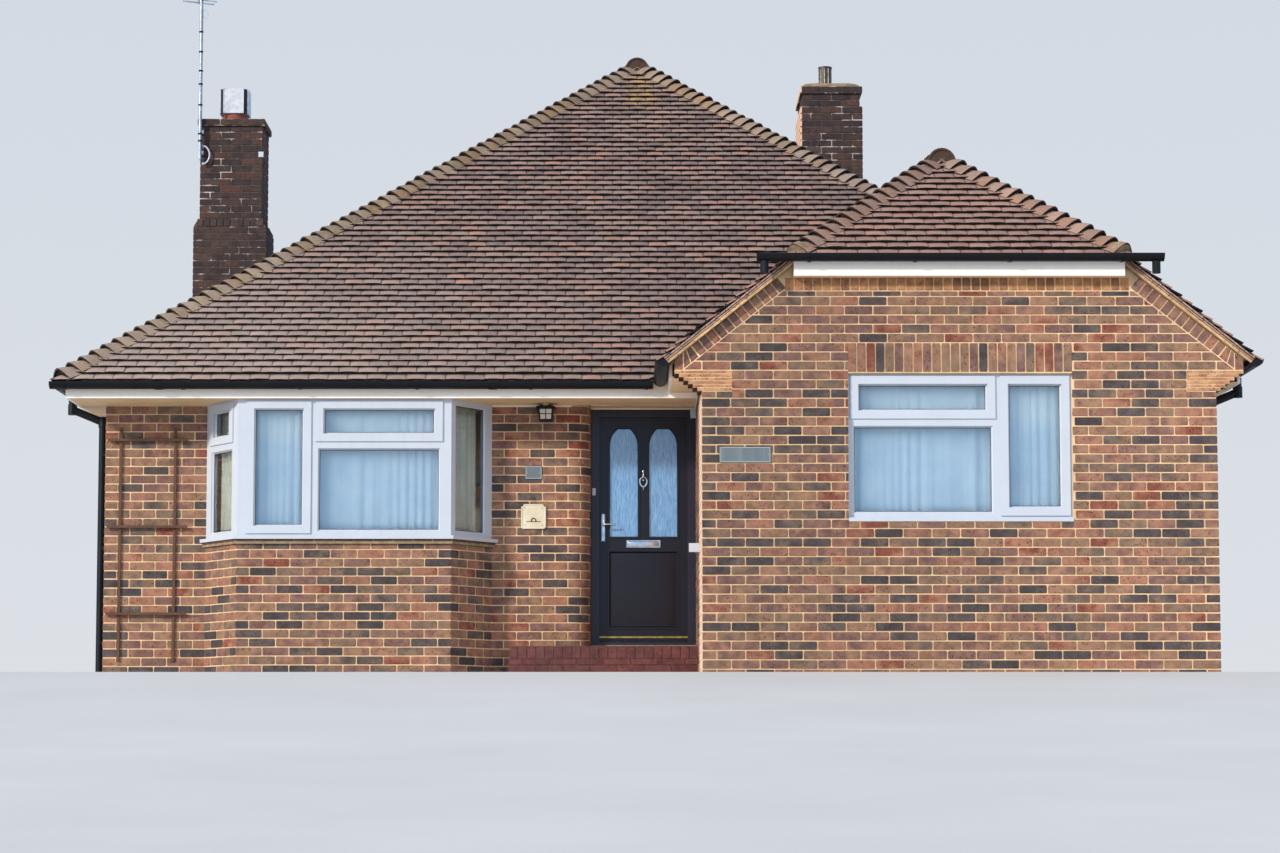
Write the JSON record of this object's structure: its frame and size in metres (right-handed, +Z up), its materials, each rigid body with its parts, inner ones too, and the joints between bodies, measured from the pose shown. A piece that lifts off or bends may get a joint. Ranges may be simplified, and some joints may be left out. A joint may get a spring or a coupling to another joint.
{
  "type": "brick bungalow",
  "caption": "Single-storey brick bungalow with a hipped tiled roof, a half-hipped front wing, a canted bay window, brick chimneys and a hinged front door.",
  "frame": {"origin": "underside of the floor slab, at the middle of the main block on plan, level with the lowest ground", "axes": "+Z up, -Y towards the front with the door and the bay, +X to the right seen from the front"},
  "size_m": [10.039, 13.09, 7.78],
  "materials": {
    "concrete": "screeded concrete",
    "plaster": "painted plaster",
    "red_step": "red brick on edge",
    "brick": "multi-coloured stock brick",
    "dark_brick": "weathered dark brick",
    "clay": "fired clay tile",
    "roof_tile": "weathered plain clay tile",
    "white_board": "satin white board",
    "white_frame": "satin white window frame",
    "black_plastic": "satin black",
    "metal": "weathered bright metal",
    "window_glass": "clear double glazing",
    "obscure_glass": "patterned obscure glass",
    "net": "gathered net",
    "dark_door": "satin dark aubergine",
    "slate": "riven slate",
    "cream_plaque": "cream glaze",
    "timber": "stained timber"
  },
  "bodies": {
    "root": {"floor_slab": "concrete", "ceiling": "plaster", "front_step": "red_step", "left_wall": "brick", "right_wall": "brick", "rear_wall": "brick", "front_wall_left": "brick", "front_wall_right": "brick", "bay_wall": "brick", "bay_sill": "clay", "lintels": "brick", "wing_front_wall": "brick", "wing_left_wall": "brick", "corbels": "clay", "roof_front": "roof_tile", "roof_left": "roof_tile", "roof_right": "roof_tile", "roof_rear": "roof_tile", "wing_roof_left": "roof_tile", "wing_half_hip": "roof_tile", "ridge_tiles": "roof_tile", "hip_tiles": "roof_tile", "fascias": "white_board", "soffits": "white_board", "gutters": "black_plastic", "downpipes": "black_plastic", "left_chimney": "dark_brick", "left_chimney_pot": "clay", "tv_aerial": "metal", "right_chimney": "dark_brick", "right_flue": "metal", "bay_window_frame": "white_frame", "bay_window_glass": "window_glass", "wing_window_frame": "white_frame", "wing_window_glass": "window_glass", "rear_window_frames": "white_frame", "rear_window_glass": "window_glass", "net_curtains": "net", "door_frame": "dark_door", "porch_lantern": "black_plastic", "wall_plates": "slate", "wall_plaque": "cream_plaque", "wall_boxes": "cream_plaque", "trellis": "timber"},
    "door": {"front_door": "dark_door", "door_glass": "obscure_glass", "door_furniture": "metal"}
  },
  "joints": [
    {"name": "front_door_hinge", "type": "hinge", "parent": "root", "child": "door", "pos_m": [0.4265, -5.116, 0.336], "axis": [0, 0, -1], "range_deg": [0, 90]}
  ]
}
